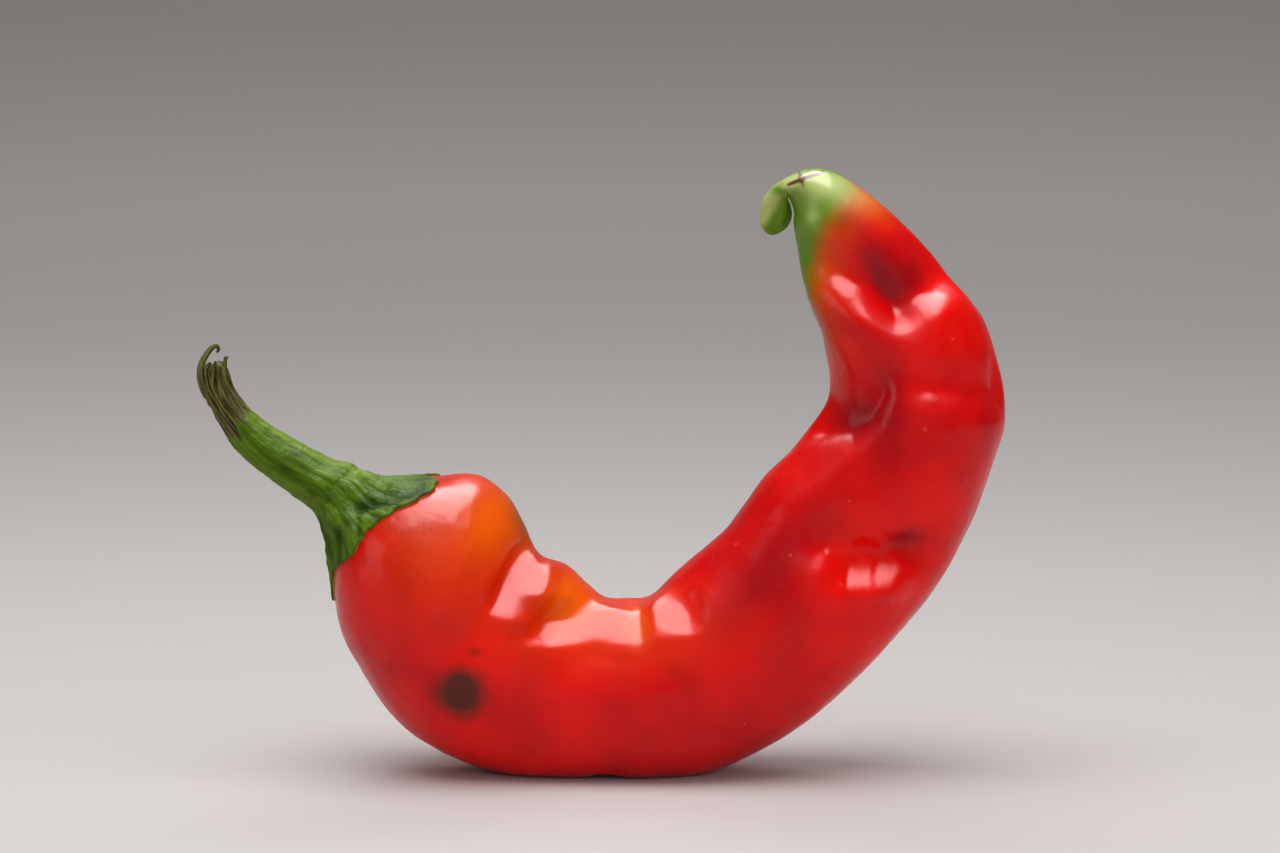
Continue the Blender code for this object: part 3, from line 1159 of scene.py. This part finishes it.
@dataclass
class Calyx:
    """The lobed green cap, which flares out of the stalk and hugs the pod."""

    stalk: Stalk
    pod: Loft = POD_LOFT
    sides: int = 200
    rings: int = 150
    # How far the edge reaches along the pod, in sections, at equal steps round it.
    front_reach: tuple[float, ...] = (2.25, 1.5, 1.4, 1.4, 1.5, 1.4, 1.3, 1.4, 1.6, 1.95, 2.1, 1.95)
    back_reach: tuple[float, ...] = (1.6, 1.75, 2.1, 1.85, 1.5, 1.4, 1.75, 1.85, 1.5, 1.4, 1.7, 1.4)
    edge_thickness: float = 0.55
    # Depth of the hidden edge under the pod's skin, at the lip and further in at the middle.
    sunk: float = 0.15
    sunk_further: float = 0.6
    # Shares of the way along the skin: under the stalk, out to the lip, and over the lip.
    neck_share: float = 0.1
    lip_share: float = 0.8
    tuck_share: float = 0.88
    # The root under the stalk's skin: sections back from the neck, share of the radius, and share where full.
    root_back: float = 0.5
    root_radius: float = 0.93
    root_share: float = 0.6
    # A point inside the cap, and the height and spacing of its uneven lumps.
    middle: Triple = (-33.0, 0.0, 36.0)
    lump_layers: tuple[Pair, ...] = ((0.35, 2.6), (0.16, 1.1), (0.06, 0.5))
    reliefs: tuple[Relief, ...] = (
        Crease(((-33.6, 38.0), (-32.4, 38.6), (-29.4, 38.9), (-24.6, 40.4)), 0.9, 1.0, 0.7, 0.15),
        Crease(((-31.0, 37.6), (-28.6, 38.2), (-26.0, 39.2)), -0.35, 0.5, 0.7, 0.15),
        Swelling((-33.0, 41.6), (2.6, 1.4), 0.7),
        Swelling((-28.4, 41.2), (2.4, 0.9), 0.4),
        Crease(((-36.6, 34.6), (-36.4, 32.4), (-35.9, 30.4)), 0.8, 0.6, 0.6, 0.15),
        Crease(((-35.0, 37.0), (-34.6, 34.6), (-34.4, 32.0)), -0.5, 0.6, 0.8, 0.15),
        Crease(((-33.4, 36.4), (-33.2, 34.0), (-33.4, 32.4)), 0.4, 0.5, 0.5, 0.15),
        Swelling((-32.6, 36.4), (1.2, 1.0), 0.45),
    )
    finish: FleshyGreen = FleshyGreen(
        name="fleshy_calyx",
        green="#4A6C06",
        bright="#7C9E10",
        dark="#2A4404",
        pale="#708630",
        streaks=0.3,
    )

    def _edge(self, angle: np.ndarray) -> np.ndarray:
        """How far the edge reaches at each angle, with small irregular teeth."""
        steps = np.array(self.front_reach + self.back_reach)[:, None]
        reach = along_spline(steps, angle / (2 * math.pi) * len(steps))[:, 0]
        return reach + 0.03 * np.sin(23 * angle) + 0.02 * np.sin(41 * angle + 1.0)

    def _above_pod(self, place: np.ndarray, angle: np.ndarray, height: np.ndarray) -> np.ndarray:
        """Points at a height above the pod's skin, in millimetres."""
        return self.pod.surface(place, angle) + self.pod.outward(place, angle) * height[:, None]

    def _flare(self, share: np.ndarray, angle: np.ndarray) -> np.ndarray:
        """The outer skin: a Bezier line at each angle from the neck to the lip."""
        neck_place = np.full(len(angle), NECK_PLACE)
        neck = self.stalk.skin(neck_place, angle)
        down_stalk = self.stalk.loft.tangent(neck_place, angle)
        reach = self._edge(angle)
        lip = self._above_pod(reach, angle, np.full(len(angle), self.edge_thickness))
        along_pod = self.pod.tangent(reach, angle)
        span = np.linalg.norm(lip - neck, axis=1, keepdims=True)
        first, second = neck + down_stalk * span * 0.25, lip - along_pod * span * 0.45
        t = share[:, None]
        return (
            (1 - t) ** 3 * neck
            + 3 * (1 - t) ** 2 * t * first
            + 3 * (1 - t) * t**2 * second
            + t**3 * lip
        )

    def _cap(self, out: np.ndarray, angle: np.ndarray) -> np.ndarray:
        """The outer skin with its ribs, folds and lumps."""
        points = self._flare(out, angle)
        step = 0.01
        along = self._flare(out + step, angle) - self._flare(out - step, angle)
        around = self._flare(out, angle + step) - self._flare(out, angle - step)
        outward = unit(np.cross(along, around))
        inward = np.sum(outward * (points - self.middle), axis=1) < 0
        outward *= np.where(inward, -1.0, 1.0)[:, None]
        rib_heights = ribs(angle, self.stalk.ridges, (0.14, 0.1))
        heights = total_height(self.reliefs, points, outward) + rib_heights + uneven(self.lump_layers, points)
        fade = smooth_step(out, 0.0, 0.2) * smooth_step(out, 1.0, 0.7)
        return points + outward * (heights * fade)[:, None]

    def _root(self, under: np.ndarray, angle: np.ndarray) -> np.ndarray:
        """Points under the stalk's skin, from its axis outwards."""
        place = np.full(len(angle), NECK_PLACE - self.root_back)
        skin = self.stalk.skin(place, angle)
        lower, upper = (self.stalk.loft.surface(place, np.full(len(angle), side)) for side in (0.0, math.pi))
        axis = (lower + upper) / 2
        return axis + (skin - axis) * (self.root_radius * np.minimum(under / self.root_share, 1.0))[:, None]

    def _lip(self, tuck: np.ndarray, angle: np.ndarray) -> np.ndarray:
        """The rounded edge, which turns over and into the pod."""
        reach = self._edge(angle) + 0.05 * np.sin(math.pi * tuck)
        height = self.edge_thickness * np.cos(tuck * math.pi / 2) - self.sunk * tuck
        return self._above_pod(reach, angle, height)

    def _skin_points(self, share: np.ndarray, angle: np.ndarray) -> np.ndarray:
        """Points on the cap's closed skin: its root, outer skin, lip and underside."""
        points = self._cap(share_between(share, self.neck_share, self.lip_share), angle)
        under = share_between(share, 0.0, self.neck_share)
        blend = smooth_step(under, self.root_share, 1.0)[:, None]
        rooted = self._root(under, angle) * (1 - blend) + points * blend
        points = np.where((share < self.neck_share)[:, None], rooted, points)
        lip = self._lip(share_between(share, self.lip_share, self.tuck_share), angle)
        points = np.where((share > self.lip_share)[:, None], lip, points)
        close = share_between(share, self.tuck_share, 1.0)
        depth = self.sunk + self.sunk_further * close
        underside = self._above_pod(self._edge(angle) * (1.0 - close), angle, -depth)
        return np.where((share > self.tuck_share)[:, None], underside, points)

    def _paint(self, share: np.ndarray, angle: np.ndarray) -> dict[str, np.ndarray]:
        """Where the cap has painted light, is pale, has painted shade in its folds, and its thin tan rim."""
        out = (share - self.neck_share) / (self.lip_share - self.neck_share)
        points = self._flare(np.clip(out, 0.0, 1.0), angle)
        outward = np.zeros(points.shape)
        outward[:, 1] = np.where(np.sin(angle) < 0, 1.0, -1.0)
        # Painted shade in the folds, and painted light on the raised tops and along the upper side near the
        # neck.
        fold_shade = -total_height([r for r in self.reliefs if isinstance(r, Crease)], points, outward)
        lit_tops = total_height([r for r in self.reliefs if isinstance(r, Swelling)], points, outward)
        near_neck = smooth_step(out, 0.45, 0.0)
        bright, pale = light_bands(angle)
        return {
            "grain": straightened(24.0 + 9.0 * out, angle, 4.0),
            "dry": np.zeros(len(share)),
            "bright": np.clip(bright * near_neck + 0.5 * lit_tops, 0.0, 1.0),
            "pale": pale * near_neck,
            "hollow": np.clip(fold_shade * 1.2, 0.0, 1.0),
            "rim": smooth_step(share, self.lip_share + 0.045, self.tuck_share - 0.02),
        }

    def build(self) -> bpy.types.Object:
        """Builds the calyx.

        Returns:
            The calyx's object.
        """
        mesh, share, angle = warped_sphere(self.sides, self.rings, self._skin_points)
        painted = self._paint(share, angle)
        return finish_piece(mesh, "calyx_cap", self.finish.material(), painted, ["calyx"])


# ---------------------------------------------------------------------------------------------------- studio


class Seen(Enum):
    """What a light adds: brightness on surfaces, or its reflection in glossy ones."""

    AS_LIGHT = (True, False)
    AS_GLOSS = (False, True)


@dataclass(frozen=True)
class SoftBox:
    """A rectangular studio light that points at a place."""

    name: str
    location: Triple
    aim: Triple
    size: Pair
    watts: float
    seen: Seen

    def build(self) -> bpy.types.Object:
        """Adds the light."""
        data = bpy.data.lights.new(self.name, "AREA")
        data.shape = "RECTANGLE"
        data.size, data.size_y = self.size
        data.energy = self.watts
        light = bpy.data.objects.new(self.name, data)
        light.location = self.location
        direction = Vector(self.aim) - Vector(self.location)
        light.rotation_euler = direction.to_track_quat("-Z", "Y").to_euler()
        light.visible_diffuse, light.visible_glossy = self.seen.value
        light.visible_transmission = light.visible_diffuse
        bpy.context.scene.collection.objects.link(light)
        return light


@dataclass(frozen=True)
class Sweep:
    """Studio paper that lies flat and then curves up into a wall, in metres."""

    paper: SweepPaper = SweepPaper()
    half_width: float = 3.0
    front: float = -2.2
    bend: float = 1.0
    radius: float = 1.4
    wall: float = 1.2
    strips: int = 80

    def point(self, across: float, along: float) -> Triple:
        """A point of the sweep, from -1 to 1 across it and in metres from its front edge."""
        run = self.bend - self.front
        turned = min(max(along - run, 0.0) / self.radius, math.pi / 2)
        climbed = max(along - run - self.radius * math.pi / 2, 0.0)
        y = self.front + min(along, run) + self.radius * math.sin(turned)
        z = self.radius * (1.0 - math.cos(turned)) + climbed
        return across * self.half_width, y, z

    def build(self, floor_height: float) -> None:
        """Lays the sweep at a height."""
        mesh = bmesh.new()
        bmesh.ops.create_grid(mesh, x_segments=2, y_segments=self.strips, size=1.0)
        length = self.bend - self.front + self.radius * math.pi / 2 + self.wall
        for vertex in mesh.verts:
            x, y, z = self.point(vertex.co.x, (vertex.co.y + 1.0) / 2.0 * length)
            vertex.co = (x, y, z + floor_height)
        data = bpy.data.meshes.new("sweep")
        mesh.to_mesh(data)
        mesh.free()
        data.shade_smooth()
        data.materials.append(self.paper.material())
        sweep = bpy.data.objects.new("sweep", data)
        bpy.context.scene.collection.objects.link(sweep)


@dataclass(frozen=True)
class Studio:
    """A pale sweep, soft overhead light and the camera."""

    elevation: float = 6.0
    azimuth: float = 0.0
    distance: float = 0.495
    lens: float = 100.0
    # The pepper sits left of and below the middle of the view by this much, in metres.
    aim_offset: Pair = (0.0053, 0.0063)
    surroundings: float = 0.1
    sweep: Sweep = Sweep()
    lights: tuple[SoftBox, ...] = (
        SoftBox("overhead_light", (-0.05, -0.10, 0.60), (0.0, 0.0, 0.03), (0.62, 0.55), 4.0, Seen.AS_LIGHT),
        SoftBox("overhead_gloss", (0.0, 0.13, 0.58), (0.0, 0.13, 0.0), (0.44, 0.78), 14.5, Seen.AS_GLOSS),
        SoftBox("right_fill", (1.0, -0.5, 0.3), (0.0, 0.0, 0.04), (0.6, 0.6), 2.4, Seen.AS_LIGHT),
        SoftBox("front_fill", (0.0, -1.2, 0.5), (0.0, 0.0, 0.03), (1.6, 1.0), 3.8, Seen.AS_LIGHT),
        SoftBox("left_gloss", (-0.9, -0.35, 0.25), (0.0, 0.0, 0.04), (0.5, 0.7), 2.2, Seen.AS_GLOSS),
        SoftBox("back_light", (0.0, 1.6, 1.4), (0.0, 1.5, 0.0), (2.4, 0.8), 16.0, Seen.AS_LIGHT),
    )

    def _world(self) -> None:
        """Sets the dim white surroundings."""
        world = bpy.data.worlds.new("studio_surroundings")
        world.use_nodes = True
        background = world.node_tree.nodes["Background"]
        background.inputs["Color"].default_value = linear("#FFFFFF")
        background.inputs["Strength"].default_value = self.surroundings
        bpy.context.scene.world = world

    def _camera(self, low: Vector, high: Vector) -> None:
        """Places the camera in front, a little above."""
        data = bpy.data.cameras.new("camera")
        data.lens = self.lens
        data.sensor_width = 36.0
        camera = bpy.data.objects.new("camera", data)
        bpy.context.scene.collection.objects.link(camera)
        across, up = self.aim_offset
        aim = (low + high) / 2 + Vector((across, 0.0, up))
        aim.y = 0.0
        azimuth, elevation = math.radians(self.azimuth), math.radians(self.elevation)
        back = Vector(
            (
                math.sin(azimuth) * math.cos(elevation),
                -math.cos(azimuth) * math.cos(elevation),
                math.sin(elevation),
            )
        )
        camera.location = aim + back * self.distance
        camera.rotation_euler = (-back).to_track_quat("-Z", "Y").to_euler()
        bpy.context.scene.camera = camera

    def build(self, low: Vector, high: Vector) -> None:
        """Builds the studio round the object's box.

        Args:
            low: The box's lowest corner.
            high: The box's highest corner.
        """
        self.sweep.build(low.z)
        self._world()
        for light in self.lights:
            light.build()
        self._camera(low, high)
        bpy.context.scene.view_settings.view_transform = "Standard"


def main() -> None:
    """Builds the pepper and its studio, and reports each piece."""
    logging.basicConfig(level=logging.INFO)
    stalk = Stalk()
    for part in (Pod(), stalk, Calyx(stalk)):
        piece = part.build()
        log.info("built %s with %d faces", piece.name, len(piece.data.polygons))
    Studio().build(*CAD_BOX)
    bpy.context.view_layer.update()


if __name__ == "__main__":
    main()
